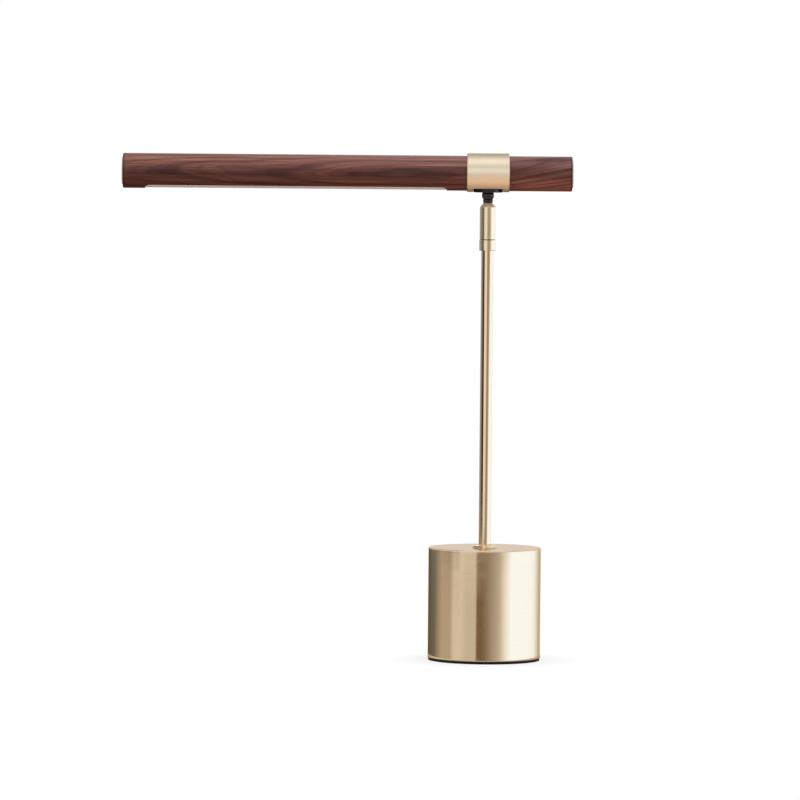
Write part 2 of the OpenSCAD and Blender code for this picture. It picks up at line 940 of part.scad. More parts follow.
module led_channel() {
    color(alloy_tint)
        difference() {
            along_bar(channel_x0, channel_x1)
                difference() {
                    channel_section(channel_r, channel_drop);
                    channel_section(channel_r - channel_wall, channel_drop - channel_wall);
                }
            at_board_screws()
                disc(board_screw_r + seat_fit, channel_face - past, web_top + past);
            translate([head_lead_x, 0, 0])
                disc(head_lead_r + seat_fit, channel_face - past, web_top + past);
        }
}

// Round of radius r, cut off flat at a depth below its centre
module channel_section(r, depth) {
    intersection() {
        circle(r);
        translate([-r, -depth])
            square([2 * r, r + depth]);
    }
}

// Places children at each screw of the light board, between two chips
module at_board_screws() {
    for (gap = board_screw_gaps)
        translate([board_x0 + (gap + 0.5) * led_pitch, 0, 0])
            children();
}

module led_board() {
    color(board_tint)
        difference() {
            translate([board_x0, -board_w / 2, board_face])
                cube([board_l, board_w, board_t]);
            at_board_screws()
                disc(board_screw_r + seat_fit, board_face - past, channel_face + past);
        }
}

module led_chips() {
    color(chip_tint)
        for (i = [1 : led_count])
            translate([board_x0 + i * led_pitch - led_size / 2, -led_size / 2, board_face - led_h])
                cube([led_size, led_size, led_h]);
}

module board_screws() {
    color(steel_tint)
        at_board_screws() {
            disc(board_screw_r, board_face, web_top);
            disc(board_screw_head_r, board_face - board_screw_head_h, board_face);
        }
}

module diffuser() {
    clip_l = diffuser_l - 4 * slot_corner;
    inner_l = diffuser_l - 2 * diffuser_t;
    inner_w = diffuser_w - 2 * diffuser_t;
    color(opal_tint) {
        difference() {
            diffuser_form(diffuser_l, diffuser_w, slot_corner - diffuser_gap, diffuser_r);
            diffuser_form(inner_l, inner_w, slot_corner - diffuser_gap - diffuser_t, diffuser_r - diffuser_t);
        }
        for (side = [-1, 1])
            along_bar(slot_x - clip_l / 2, slot_x + clip_l / 2)
                polygon([
                    [side * (diffuser_w / 2 - diffuser_t / 2), -channel_drop - clip_h],
                    [side * (diffuser_w / 2 - diffuser_t / 2), -channel_drop - 2.1],
                    [side * clip_reach, -channel_drop - 2.1],
                    [side * clip_reach, -channel_drop - clip_h]
                ]);
    }
}

// Upright prism under the channel, rounded below with the bar
module diffuser_form(length, width, corner, r) {
    intersection() {
        translate([slot_x, 0, bar_z - bar_r])
            linear_extrude(bar_r - channel_drop)
                rounded_rectangle(length, width, corner);
        along_bar(slot_x0, slot_x1)
            circle(r);
    }
}

module head_lead() {
    run_z = bar_z + 4;
    foot_z = ball_z + rod_head_r + lead_gap;
    color(lead_tint) {
        disc(head_lead_r, foot_z, run_z - lead_bend);
        translate([0, 0, run_z - lead_bend])
            rotate([0, 0, 180])
                bend(head_lead_r, lead_bend);
        along_lead(head_lead_x + lead_bend, -lead_bend, run_z);
        translate([head_lead_x, 0, run_z - lead_bend])
            bend(head_lead_r, lead_bend);
        translate([head_lead_x, 0, 0])
            disc(head_lead_r, channel_face, run_z - lead_bend);
    }
}

// Level run of the lead in the bar at a height z, from x0 to x1
module along_lead(x0, x1, z) {
    translate([0, 0, z])
        rotate([0, 90, 0])
            disc(head_lead_r, x0, x1);
}

base_shell();
base_weight();
foot_pad();
stem();
stem_collar();
stem_washer();
stem_nut();
led_driver();
driver_screws();
cord_inlet();
switch_body();
switch_bezel();
switch_button();
swivel_ferrule();
swivel_washer();
stop_pin();
pivot_screw();
pivot_spring();
stem_lead();
swivel_barrel();
ball_cup();
barrel_plug();
tension_rod();
disc_springs();
spring_washer();
rod_nut();
barrel_lead();
pressure_washer();
ball_stud();
clamp_plate();
sleeve();
saddle_washer();
stud_nut();
bar();
left_end_cap();
right_end_cap();
led_channel();
led_board();
led_chips();
board_screws();
diffuser();
head_lead();
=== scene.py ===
"""Looks of the adjustable desk lamp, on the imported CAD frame: finishes, floor, light and camera."""

import math

import bpy
from mathutils import Matrix, Vector


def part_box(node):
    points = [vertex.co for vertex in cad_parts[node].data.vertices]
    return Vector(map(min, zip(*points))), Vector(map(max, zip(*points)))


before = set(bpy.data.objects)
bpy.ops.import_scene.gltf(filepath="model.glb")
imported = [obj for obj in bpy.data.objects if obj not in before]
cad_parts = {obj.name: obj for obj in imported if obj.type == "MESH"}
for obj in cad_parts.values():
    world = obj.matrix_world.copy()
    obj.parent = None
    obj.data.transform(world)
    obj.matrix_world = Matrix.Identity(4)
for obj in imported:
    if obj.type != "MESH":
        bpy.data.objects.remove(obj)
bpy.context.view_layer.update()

MILLIMETRE = 0.001

# The photograph's frame, and where the lamp stands in it
IMAGE_SIDE = 800
PIXELS_PER_METRE = 1126.7
BASE_AXIS_PIXEL = 486.1
BASE_TOP_PIXEL = 546.8

# The camera's distance in metres, its angles in degrees and its sensor's width in millimetres
CAMERA_DISTANCE = 5.3
CAMERA_ELEVATION = 2.6
CAMERA_ROLL = 0.5
SENSOR = 36.0

# Heights on the lamp that its finishes and the camera follow
bar_low, bar_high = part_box("bar")
bezel_low, bezel_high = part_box("switch_bezel")
drum_low, drum_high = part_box("base_shell")
BAR_HEIGHT = (bar_low.z + bar_high.z) / 2
SWITCH_HEIGHT = (bezel_low.z + bezel_high.z) / 2
# The barrel's sloping shoulder: how high it is, and where it starts
SHOULDER = 3.6 * MILLIMETRE
SHOULDER_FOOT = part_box("swivel_barrel")[1].z - SHOULDER


def srgb(red, green, blue):
    """A colour as a screen shows it, from 0 to 255, as the linear colour that a shader takes."""
    shares = [level / 255 for level in (red, green, blue)]
    return tuple(s / 12.92 if s < 0.04 else ((s + 0.055) / 1.055) ** 2.4 for s in shares) + (1,)


def grey(level):
    """A neutral linear colour."""
    return (level, level, level, 1)


def add(tree, kind, inputs=None, **settings):
    """Adds a node to a tree. Each input takes a constant or the socket that feeds it."""
    node = tree.nodes.new(kind)
    for name, value in settings.items():
        setattr(node, name, value)
    for key, value in (inputs or {}).items():
        if isinstance(value, bpy.types.NodeSocket):
            tree.links.new(value, node.inputs[key])
        else:
            node.inputs[key].default_value = value
    return node


def maths(tree, operation, *values):
    """Adds a math node and returns what it gives."""
    return add(tree, "ShaderNodeMath", dict(enumerate(values)), operation=operation).outputs[0]


def total(tree, first, *others):
    """Adds values up, one after another."""
    for value in others:
        first = maths(tree, "ADD", first, value)
    return first


def split(tree, vector):
    """The three parts of a vector."""
    return add(tree, "ShaderNodeSeparateXYZ", {0: vector}).outputs


def length(tree, vector):
    """The length of a vector."""
    return add(tree, "ShaderNodeVectorMath", {0: vector}, operation="LENGTH").outputs["Value"]


def ramp(tree, value, stops):
    """Adds a colour ramp of (position, colour) stops and returns its colour."""
    node = add(tree, "ShaderNodeValToRGB", {0: value})
    elements = node.color_ramp.elements
    while len(elements) < len(stops):
        elements.new(0.5)
    for element, (position, colour) in zip(elements, stops):
        element.position = position
        element.color = colour
    return node.outputs[0]


def mix(tree, share, first, second, blend="MIX"):
    """Adds a colour mix and returns its colour. The node's inputs 6 and 7 and its output 2 are colours."""
    inputs = {0: share, 6: first, 7: second}
    return add(tree, "ShaderNodeMix", inputs, data_type="RGBA", blend_type=blend).outputs[2]


def noise(tree, vector, detail, roughness=0.5):
    """Adds a noise texture and returns its value, about 0.5 on average."""
    inputs = {"Vector": vector, "Scale": 1.0, "Detail": detail, "Roughness": roughness}
    return add(tree, "ShaderNodeTexNoise", inputs).outputs[0]


# The span that most of a noise's values lie in
NOISE_LOW = 0.25
NOISE_HIGH = 0.75


def spread(tree, value, low, high):
    """Maps a noise value from its usual span to the span from low to high."""
    inputs = {0: value, 1: NOISE_LOW, 2: NOISE_HIGH, 3: low, 4: high}
    return add(tree, "ShaderNodeMapRange", inputs).outputs[0]


def smooth_step(tree, value, start, end):
    """0 before start and 1 after end, with a soft change between them. It may run either way."""
    inputs = {0: value, 1: start, 2: end, 3: 0.0, 4: 1.0}
    return add(tree, "ShaderNodeMapRange", inputs, interpolation_type="SMOOTHSTEP").outputs[0]


def band(tree, value, start, full, until, end):
    """0 before start and after end, and 1 between full and until, with soft edges."""
    rising = smooth_step(tree, value, start, full)
    falling = smooth_step(tree, value, end, until)
    return maths(tree, "MULTIPLY", rising, falling)


def place(tree, location=(0, 0, 0), rotation=(0, 0, 0), scale=1.0):
    """Object coordinates, scaled, turned and moved."""
    coordinates = add(tree, "ShaderNodeTexCoord").outputs["Object"]
    inputs = {0: coordinates, 1: location, 2: rotation, 3: (scale, scale, scale)}
    return add(tree, "ShaderNodeMapping", inputs).outputs[0]


def new_material(name):
    """A material with an empty tree."""
    material = bpy.data.materials.new(name)
    material.use_nodes = True
    material.node_tree.nodes.clear()
    return material, material.node_tree


def surface(tree, **inputs):
    """Adds the surface shader. Input names are written with underscores."""
    sockets = {name.replace("_", " "): value for name, value in inputs.items()}
    shader = add(tree, "ShaderNodeBsdfPrincipled", sockets)
    add(tree, "ShaderNodeOutputMaterial", {0: shader.outputs[0]})


def bump(tree, height, strength, depth):
    """Adds a bump of a depth in metres and returns its normal."""
    inputs = {"Height": height, "Strength": strength, "Distance": depth}
    return add(tree, "ShaderNodeBump", inputs).outputs[0]


# How to turn each axis onto Z, so that one recipe serves pieces along any axis
TURNS = {"X": (0, math.radians(-90), 0), "Y": (math.radians(90), 0, 0), "Z": (0, 0, 0)}

# Brushed lines: their width and depth, how fast they change on the way round, and their share in roughness
LINE_WIDTH = 0.3 * MILLIMETRE
LINE_DEPTH = 0.02 * MILLIMETRE
LINE_CHANGE = 0.9
LINE_ROUGHNESS = 0.02
# Broad patches on the metal: how many there are to a metre, and their share in roughness
PATCHES = 60
PATCH_ROUGHNESS = 0.015
# Painted shade along a lower rim, standing in for the contact shadow at the foot: its tint, and how far
# above the rim it is whole and where it ends
PAINTED_FOOT_SHADE = (0.34, 0.37, 0.42, 1)
FOOT_SHADE_WHOLE = 0.7 * MILLIMETRE
FOOT_SHADE_END = 1.1 * MILLIMETRE
# A satin zone: the roughness that it adds, and the height over which it sets in
SATIN_ROUGHNESS = 0.5
SATIN_EDGE = 0.2 * MILLIMETRE


def lathe_lines(tree, centred, along):
    """Noise in fine lines round the Z axis of centred coordinates, as brushing or turning leaves them."""
    flat = add(tree, "ShaderNodeVectorMath", {0: centred, 1: (1, 1, 0)}, operation="MULTIPLY").outputs[0]
    around = add(tree, "ShaderNodeVectorMath", {0: flat}, operation="NORMALIZE").outputs[0]
    across = maths(tree, "MULTIPLY", maths(tree, "ADD", along, length(tree, flat)), 1 / LINE_WIDTH)
    line = add(tree, "ShaderNodeCombineXYZ", {2: across}).outputs[0]
    arc = add(tree, "ShaderNodeVectorMath", {0: around, "Scale": LINE_CHANGE}, operation="SCALE").outputs[0]
    vector = add(tree, "ShaderNodeVectorMath", {0: arc, 1: line}, operation="ADD").outputs[0]
    return noise(tree, vector, detail=4, roughness=0.6)


def turned_metal(
        name, axis, light, dark, roughness, anisotropy, height=0, relief=0.02, rim=None, satin=None,
        **finish):
    """Metal brushed round an axis, in lines between two screen colours.

    A lying axis is at a height above the table. A standing piece may get a painted shade along its lower
    rim, at a height rim, and satin above a height satin.
    """
    material, tree = new_material(name)
    offset = {"X": (height, 0, 0), "Y": (0, height, 0), "Z": (0, 0, 0)}[axis]
    centred = place(tree, offset, TURNS[axis])
    along = split(tree, centred)[2]
    lines = lathe_lines(tree, centred, along)
    patches = noise(tree, place(tree, scale=PATCHES), detail=2)
    tone = mix(tree, spread(tree, lines, 0.0, 1.0), srgb(*dark), srgb(*light))
    if rim is not None:
        # Painted shade just above the lower rim, for the contact shadow at the foot
        foot_shade = smooth_step(tree, along, rim + FOOT_SHADE_END, rim + FOOT_SHADE_WHOLE)
        tone = mix(tree, foot_shade, tone, PAINTED_FOOT_SHADE, "MULTIPLY")
    rough = total(
        tree, spread(tree, patches, -PATCH_ROUGHNESS, PATCH_ROUGHNESS),
        spread(tree, lines, roughness - LINE_ROUGHNESS, roughness + LINE_ROUGHNESS))
    if satin is not None:
        zone = smooth_step(tree, along, satin, satin + SATIN_EDGE)
        rough = maths(tree, "MULTIPLY_ADD", zone, SATIN_ROUGHNESS, rough)
    tangent = add(tree, "ShaderNodeTangent", direction_type="RADIAL", axis=axis).outputs[0]
    surface(
        tree, Base_Color=tone, Metallic=1.0, Roughness=rough, Anisotropic=anisotropy,
        Anisotropic_Rotation=0.25, Tangent=tangent, Normal=bump(tree, lines, relief, LINE_DEPTH), **finish)
    return material


def brass(name, axis, light=(237, 219, 189), dark=(233, 213, 182), edge=(213, 191, 160), **finish):
    """Pale brass brushed round an axis, with its own tint at the edges."""
    return turned_metal(name, axis, light, dark, Specular_Tint=srgb(*edge), **finish)


# The walnut's figure, in millimetres along the bar from the stem, and across it from the bar's axis.
# Past its start the grain climbs round the bar, by so much for each millimetre
CLIMB_START = -10.0
CLIMB = 0.18
# The rings' centre lies behind the bar. Along the long end the rings taper, so that they come to points
RING_CENTRE = 34.0
RING_PHASE = -0.2
RING_WANDER = 1.3
TAPER_START = -120.0
TAPER = 0.0375
# Broad rings and fine lines: their pitch, their share in the grain, and their (position, level) stops
SEASON_PITCH = 3.0
SEASON_SHARE = 0.32
SEASON_LEVELS = [(0.0, 0.2), (0.1, 0.8), (0.5, 1.0), (0.8, 0.55), (0.93, 0.0), (1.0, 0.2)]
GROWTH_PITCH = 0.8
GROWTH_SHARE = 0.15
GROWTH_LEVELS = [(0.0, 0.5), (0.2, 1.0), (0.7, 0.75), (0.92, 0.1), (1.0, 0.5)]
# Noises in the grain: their cells to a millimetre along it and across it, and their detail
WANDER = {"along": 0.008, "across": 0.05, "detail": 2}
FIBRE = {"along": 0.012, "across": 0.7, "detail": 5}
STREAKS = {"along": 0.003, "across": 0.3, "detail": 3}
PORES = {"along": 0.1, "across": 3.0, "detail": 2}
CLOUDING = {"along": 0.01, "across": 0.06, "detail": 2}
FIBRE_SHARE = 0.40
STREAK_SHARE = 0.36
FIBRE_RELIEF = 0.06
FIBRE_DEPTH = 0.1 * MILLIMETRE
# The wood's colours from the darkest grain to the palest, the tone that clouds it, and the pores' shade
WOOD_TONES = [
    (0.28, srgb(36, 14, 13)), (0.52, srgb(70, 34, 29)), (0.77, srgb(99, 55, 46)), (1.0, srgb(128, 80, 66)),
]
CLOUD_TONE = srgb(66, 32, 28)
CLOUD_SHARE = 0.4
PORE_TONES = [(0.30, grey(0.6)), (0.42, grey(1.0))]
# Painted light and sheen make the top paler and greyer, more so and bluer to the right: where this sets in
# by height and along, and its tints
LIT_TOP_RISE = (1.0, 11.5)
LIT_TOP_ALONG = (-300.0, 60.0)
LIT_TOP_LEFT = (2.5, 3.15, 3.1, 1)
LIT_TOP_RIGHT = (2.5, 3.4, 4.1, 1)
# Painted shade darkens the long end low down, and painted light makes the short end paler and bluer low
# down: where this sets in, and its tints
LONG_RISE = (6.0, -8.0)
LONG_ALONG = (-100.0, -220.0)
LONG_LOW_SHADE = grey(0.75)
SHORT_RISE = (-3.0, -9.0)
SHORT_ALONG = (10.0, 40.0)
SHORT_LOW_LIGHT = (1.9, 2.0, 2.2, 1)
# The wood is darker near the bar's ends: its tint, and how far from the end it is whole and where it ends
END_DARKENING = grey(0.4)
END_WHOLE = 0.8
END_REACH = 2.4
# How rough the lacquered wood is, and how strongly it mirrors
WOOD_ROUGHNESS = (0.28, 0.38)
WOOD_GLOSS = 0.3


def stretched_noise(tree, position, along, across, detail):
    """Noise with so many cells to a unit of length along X and across it."""
    vector = add(tree, "ShaderNodeMapping", {0: position, 3: (along, across, across)}).outputs[0]
    return noise(tree, vector, detail, roughness=0.6)


def follow_grain(tree, position, along, bar_radius):
    """A position turned back with the grain, which twists round the bar towards its short end."""
    past_start = maths(tree, "MAXIMUM", maths(tree, "SUBTRACT", along, CLIMB_START), 0.0)
    climb = maths(tree, "MULTIPLY", past_start, CLIMB)
    inputs = {"Vector": position, "Angle": maths(tree, "DIVIDE", climb, bar_radius)}
    return add(tree, "ShaderNodeVectorRotate", inputs, rotation_type="X_AXIS").outputs[0]


def ring_radius(tree, followed, along):
    """The radius of the ring that a point of the grain lies on."""
    _, depth, across = split(tree, followed)
    behind = maths(tree, "SUBTRACT", depth, RING_CENTRE)
    squares = total(tree, maths(tree, "POWER", across, 2.0), maths(tree, "POWER", behind, 2.0))
    taper = maths(tree, "MULTIPLY", maths(tree, "MINIMUM", along, TAPER_START), TAPER)
    wander = spread(tree, stretched_noise(tree, followed, **WANDER), -RING_WANDER, RING_WANDER)
    return total(tree, maths(tree, "SQRT", squares), taper, wander, RING_PHASE)


def rings(tree, radius, pitch, levels):
    """Levels that repeat at a pitch along a radius."""
    phase = maths(tree, "FRACT", maths(tree, "DIVIDE", radius, pitch))
    return ramp(tree, phase, [(position, grey(level)) for position, level in levels])


def wood_grain(tree, followed, along, fibre):
    """How pale the grain is, from broad rings, fine lines, fibre and streaks."""
    radius = ring_radius(tree, followed, along)
    streaks = stretched_noise(tree, followed, **STREAKS)
    season = maths(tree, "MULTIPLY", rings(tree, radius, SEASON_PITCH, SEASON_LEVELS), SEASON_SHARE)
    growth = maths(tree, "MULTIPLY", rings(tree, radius, GROWTH_PITCH, GROWTH_LEVELS), GROWTH_SHARE)
    fibre_part = spread(tree, fibre, 0.0, FIBRE_SHARE)
    streak_part = spread(tree, streaks, 0.0, STREAK_SHARE)
    return total(tree, season, growth, fibre_part, streak_part)


def corner_zone(tree, along, rise, along_span, rise_span):
    """1 in one corner of the bar's side, with soft edges along the bar and up it."""
    return maths(
        tree, "MULTIPLY", smooth_step(tree, along, *along_span), smooth_step(tree, rise, *rise_span))


def walnut(name, height, left, right, bar_radius):
    """Lacquered walnut for a bar along X at a height, with rings that taper into cathedral points.

    The bar's left and right ends and its radius are in millimetres.
    """
    material, tree = new_material(name)
    position = place(tree, (0, 0, -height / MILLIMETRE), scale=1 / MILLIMETRE)
    along, _, rise = split(tree, position)
    followed = follow_grain(tree, position, along, bar_radius)
    fibre = stretched_noise(tree, followed, **FIBRE)
    tone = ramp(tree, wood_grain(tree, followed, along, fibre), WOOD_TONES)
    clouding = spread(tree, stretched_noise(tree, followed, **CLOUDING), 0.0, CLOUD_SHARE)
    tone = mix(tree, clouding, tone, CLOUD_TONE)
    painted_top_light = mix(tree, smooth_step(tree, along, *LIT_TOP_ALONG), LIT_TOP_LEFT, LIT_TOP_RIGHT)
    pores = ramp(tree, stretched_noise(tree, followed, **PORES), PORE_TONES)
    left_end_darkening = smooth_step(tree, along, left + END_REACH, left + END_WHOLE)
    right_end_darkening = smooth_step(tree, along, right - END_REACH, right - END_WHOLE)
    # Tints over the grain: painted light on the top and low on the short end, painted shade low on the long
    # end, pores, and darker ends
    tints_and_painted_light = [
        (smooth_step(tree, rise, *LIT_TOP_RISE), painted_top_light),
        (corner_zone(tree, along, rise, LONG_ALONG, LONG_RISE), LONG_LOW_SHADE),
        (corner_zone(tree, along, rise, SHORT_ALONG, SHORT_RISE), SHORT_LOW_LIGHT),
        (1.0, pores),
        (maths(tree, "MAXIMUM", left_end_darkening, right_end_darkening), END_DARKENING),
    ]
    for share, tint in tints_and_painted_light:
        tone = mix(tree, share, tone, tint, "MULTIPLY")
    surface(
        tree, Base_Color=tone, Roughness=spread(tree, fibre, *WOOD_ROUGHNESS),
        Specular_IOR_Level=WOOD_GLOSS, Normal=bump(tree, fibre, FIBRE_RELIEF, FIBRE_DEPTH))
    return material


# A moulded texture's depth, its clouds to a metre, and how much they shade it and vary its roughness
GRAIN_DEPTH = 0.1 * MILLIMETRE
CLOUDS = 40
CLOUD_SHADE = 0.3
CLOUD_ROUGHNESS = 0.15


def moulded(name, colour, shade, roughness, grain, relief, **finish):
    """Rubber, plastic, paint or cast metal between two screen colours, with a grain in millimetres."""
    material, tree = new_material(name)
    speckle = noise(tree, place(tree, scale=1 / (grain * MILLIMETRE)), detail=3)
    cloud = noise(tree, place(tree, scale=CLOUDS), detail=2)
    tone = mix(tree, spread(tree, speckle, 0.0, 1.0), srgb(*shade), srgb(*colour))
    tone = mix(tree, spread(tree, cloud, 0.0, CLOUD_SHADE), tone, srgb(*shade))
    rough = spread(tree, cloud, roughness * (1 - CLOUD_ROUGHNESS), roughness * (1 + CLOUD_ROUGHNESS))
    normal = bump(tree, speckle, relief, GRAIN_DEPTH)
    surface(tree, Base_Color=tone, Roughness=rough, Normal=normal, **finish)
    return material


# The drum's brass carries the painted shade along its foot
brass_brushed = brass("brass_brushed", "Z", roughness=0.05, anisotropy=0.1, relief=0.004, rim=drum_low.z)
brass_polished = brass(
    "brass_polished", "Z", edge=(240, 236, 228), roughness=0.13, anisotropy=0.3, relief=0.005,
    satin=SHOULDER_FOOT)
brass_tube = brass(
    "brass_tube", "Z", (239, 215, 183), (235, 209, 176), (240, 232, 222), roughness=0.045, anisotropy=0.3,
    relief=0.003)
brass_satin = brass(
    "brass_satin", "X", (244, 230, 208), (239, 223, 198), roughness=0.52, anisotropy=0.65,
    height=BAR_HEIGHT)
brass_back = brass("brass_back", "Y", roughness=0.21, anisotropy=0.4, height=SWITCH_HEIGHT)
steel = turned_metal(
    "zinc_plated_steel", "Z", (205, 206, 208), (178, 179, 182), roughness=0.32, anisotropy=0.4)
alloy = turned_metal(
    "mill_aluminium", "X", (222, 223, 225), (204, 205, 208), roughness=0.36, anisotropy=0.4,
    height=BAR_HEIGHT)
wood = walnut(
    "walnut", BAR_HEIGHT, bar_low.x / MILLIMETRE, bar_high.x / MILLIMETRE, bar_high.y / MILLIMETRE)
black_metal = moulded("black_paint", (12, 12, 18), (7, 7, 11), roughness=0.12, grain=0.6, relief=0.02)
pad = moulded(
    "black_pad", (16, 14, 13), (9, 8, 8), roughness=0.7, grain=0.5, relief=0.3, Specular_IOR_Level=0.2)
iron = moulded(
    "cast_iron", (96, 96, 98), (66, 66, 68), roughness=0.62, grain=0.8, relief=0.4, Metallic=0.8)
nylon = moulded("dark_nylon", (58, 52, 46), (40, 36, 32), roughness=0.5, grain=0.6, relief=0.1)
black_plastic = moulded(
    "black_plastic", (44, 44, 45), (30, 30, 31), roughness=0.35, grain=0.4, relief=0.12)
housing = moulded(
    "driver_housing", (226, 226, 222), (206, 206, 202), roughness=0.5, grain=0.6, relief=0.12)
board = moulded(
    "white_solder_resist", (240, 240, 235), (222, 224, 218), roughness=0.4, grain=0.8, relief=0.05)
chips = moulded("phosphor", (244, 226, 140), (232, 208, 110), roughness=0.35, grain=0.4, relief=0.06)
opal = moulded(
    "opal", (234, 229, 242), (224, 219, 233), roughness=0.42, grain=0.5, relief=0.05,
    Subsurface_Weight=0.1)
pale_cap = moulded("pale_cap", (236, 232, 234), (226, 222, 225), roughness=0.42, grain=0.5, relief=0.05)
lead = moulded("lead_jacket", (158, 52, 44), (132, 38, 34), roughness=0.45, grain=0.8, relief=0.05)

FINISHES = {
    brass_brushed: ["base_shell"],
    brass_tube: ["stem", "stem_collar"],
    brass_polished: ["swivel_ferrule", "swivel_barrel"],
    brass_satin: ["sleeve"],
    brass_back: ["switch_bezel"],
    wood: ["bar"],
    black_metal: ["ball_cup", "ball_stud", "clamp_plate"],
    pad: ["foot_pad", "cord_inlet"],
    iron: ["base_weight"],
    steel: [
        "stem_washer", "stem_nut", "driver_screws", "stop_pin", "pivot_screw", "pivot_spring",
        "barrel_plug", "tension_rod", "disc_springs", "spring_washer", "rod_nut", "saddle_washer",
        "stud_nut", "board_screws",
    ],
    nylon: ["swivel_washer", "pressure_washer"],
    black_plastic: ["switch_body", "switch_button"],
    housing: ["led_driver"],
    alloy: ["led_channel"],
    board: ["led_board"],
    chips: ["led_chips"],
    opal: ["diffuser"],
    pale_cap: ["left_end_cap", "right_end_cap"],
    lead: ["stem_lead", "barrel_lead", "head_lead"],
}
for material, names in FINISHES.items():
    for name in names:
        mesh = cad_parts[name].data
        mesh.materials.clear()
        mesh.materials.append(material)

# Colours of the studio round the lamp
BACKDROP = grey(1.0)
BLACK = (0.03, 0.025, 0.02, 1)
DOORWAY = (0.20, 0.13, 0.072, 1)
DUSK = (0.16, 0.16, 0.17, 1)
SHADE = (0.20, 0.19, 0.19, 1)
DIM = (0.34, 0.32, 0.26, 1)
MIST = (0.42, 0.46, 0.58, 1)
TAN = (0.54, 0.46, 0.37, 1)
WALL = (0.60, 0.56, 0.51, 1)
FRONT_WALL = (0.65, 0.61, 0.56, 1)
LIT_WALL = (0.78, 0.73, 0.67, 1)
PALE_WALL = (1.00, 0.96, 0.94, 1)
WINDOW = (1.16, 1.36, 1.70, 1)
WINDOW_SIDE = (0.74, 0.85, 1.02, 1)
FRONT_SKY = (1.12, 1.17, 1.18, 1)
BEAM = (0.46, 0.46, 0.42, 1)
CEILING = (0.84, 0.86, 0.88, 1)
GROUND = (0.90, 0.72, 0.60, 1)
WARM_GROUND = (0.86, 0.60, 0.43, 1)
UNDERSIDE = (0.14, 0.10, 0.08, 1)
BACK_LEFT = (0.44, 0.40, 0.36, 1)
BACK_RIGHT = (0.86, 0.89, 0.93, 1)
BACK_CORNER = (0.17, 0.14, 0.11, 1)

# Two rings of walls, by the angle round the lamp in degrees: 0 is towards the camera, and 90 to its right
LOW_WALLS = [
    (-180, BACKDROP), (-174, BACKDROP), (-166, SHADE), (-124, SHADE), (-98, TAN), (-76, TAN),
    (-66, LIT_WALL), (-52, LIT_WALL), (-38, FRONT_WALL), (-19, FRONT_WALL), (-15, DOORWAY), (-6, DOORWAY),
    (30, WALL), (42, BACKDROP), (56, WINDOW), (122, WINDOW), (150, WINDOW_SIDE), (168, BACKDROP),
    (180, BACKDROP),
]
HIGH_WALLS = [
    (-180, BACKDROP), (-174, BACKDROP), (-168, MIST), (-128, MIST), (-86, DUSK), (-74, BLACK),
    (-56, BLACK), (-48, PALE_WALL), (-14, PALE_WALL), (6, DIM), (22, DIM), (44, WALL), (58, WINDOW),
    (158, WINDOW), (170, BACKDROP), (180, BACKDROP),
]
# Steepness is the upward part of a direction, from -1 to 1: where the high ring takes over from the low one
RING_CHANGE = (-0.070, -0.067)
# What lies above and below the walls, in order: where it sets in and is whole, and its colour
LEVELS = [
    (0.0, 0.1, FRONT_SKY), (0.42, 0.52, BEAM), (0.66, 0.78, CEILING), (-0.115, -0.26, GROUND),
    (-0.5, -0.85, WARM_GROUND), (-0.88, -0.995, UNDERSIDE),
]
# The studio's back, by the forward part of a direction, and its ground and ceiling, by steepness
BACK = (0.0, 0.35)
BACK_GROUND = (-0.15, -0.4)
BACK_CEILING = (0.12, 0.5)
# Where the back ceiling changes from left to right, and its dark corner, by the rightward part
BACK_SIDES = (-0.2, 0.2)
CORNER = (-0.36, -0.29, -0.15, -0.05)
# The doorway's foot reaches down to the ground: its width in degrees, and its steepness
OPENING_WIDTH = (-16, -14, -6, 16)
OPENING_HEIGHT = (-0.4, -0.25, -0.1, -0.08)
# Where metal shows the white backdrop: in degrees to either side of the front, and by steepness
BACKDROP_SIDES = (168, 176)
BACKDROP_HEIGHT = (-0.3, -0.12, 0.25, 0.45)

# The floor's radius, how far out it starts to fade, the sides of its outline and its colour
FLOOR_RADIUS = 0.085
FLOOR_FADE = 0.055
FLOOR_SIDES = 96
FLOOR_PALE = grey(0.82)
# The share of the floor's white that is its own in the middle, as the camera sees it
FLOOR_WHITE = 0.8


def straight_view(tree, path):
    """1 where the camera sees a surface, straight or through glass."""
    return maths(tree, "MAXIMUM", path["Is Camera Ray"], path["Is Transmission Ray"])


def floor_finish():
    """Pale, with the lamp's shadow. Towards the rim the camera sees white, and metal sees the ground."""
    material, tree = new_material("pale_floor")
    inputs = {0: length(tree, place(tree)), 1: FLOOR_FADE, 2: FLOOR_RADIUS, 3: 0.0, 4: 1.0}
    edge = add(tree, "ShaderNodeMapRange", inputs).outputs[0]
    path = add(tree, "ShaderNodeLightPath").outputs
    diffuse = add(tree, "ShaderNodeBsdfDiffuse", {0: FLOOR_PALE}).outputs[0]
    colour = mix(tree, path["Is Glossy Ray"], BACKDROP, GROUND)
    glow = add(tree, "ShaderNodeEmission", {0: colour, 1: 1.0}).outputs[0]
    white = maths(tree, "MULTIPLY_ADD", edge, 1 - FLOOR_WHITE, FLOOR_WHITE)
    seen = maths(tree, "MULTIPLY", straight_view(tree, path), white)
    mirrored = maths(tree, "MULTIPLY", path["Is Glossy Ray"], edge)
    share = maths(tree, "MAXIMUM", seen, mirrored)
    shown = add(tree, "ShaderNodeMixShader", {0: share, 1: diffuse, 2: glow}).outputs[0]
    add(tree, "ShaderNodeOutputMaterial", {0: shown})
    return material


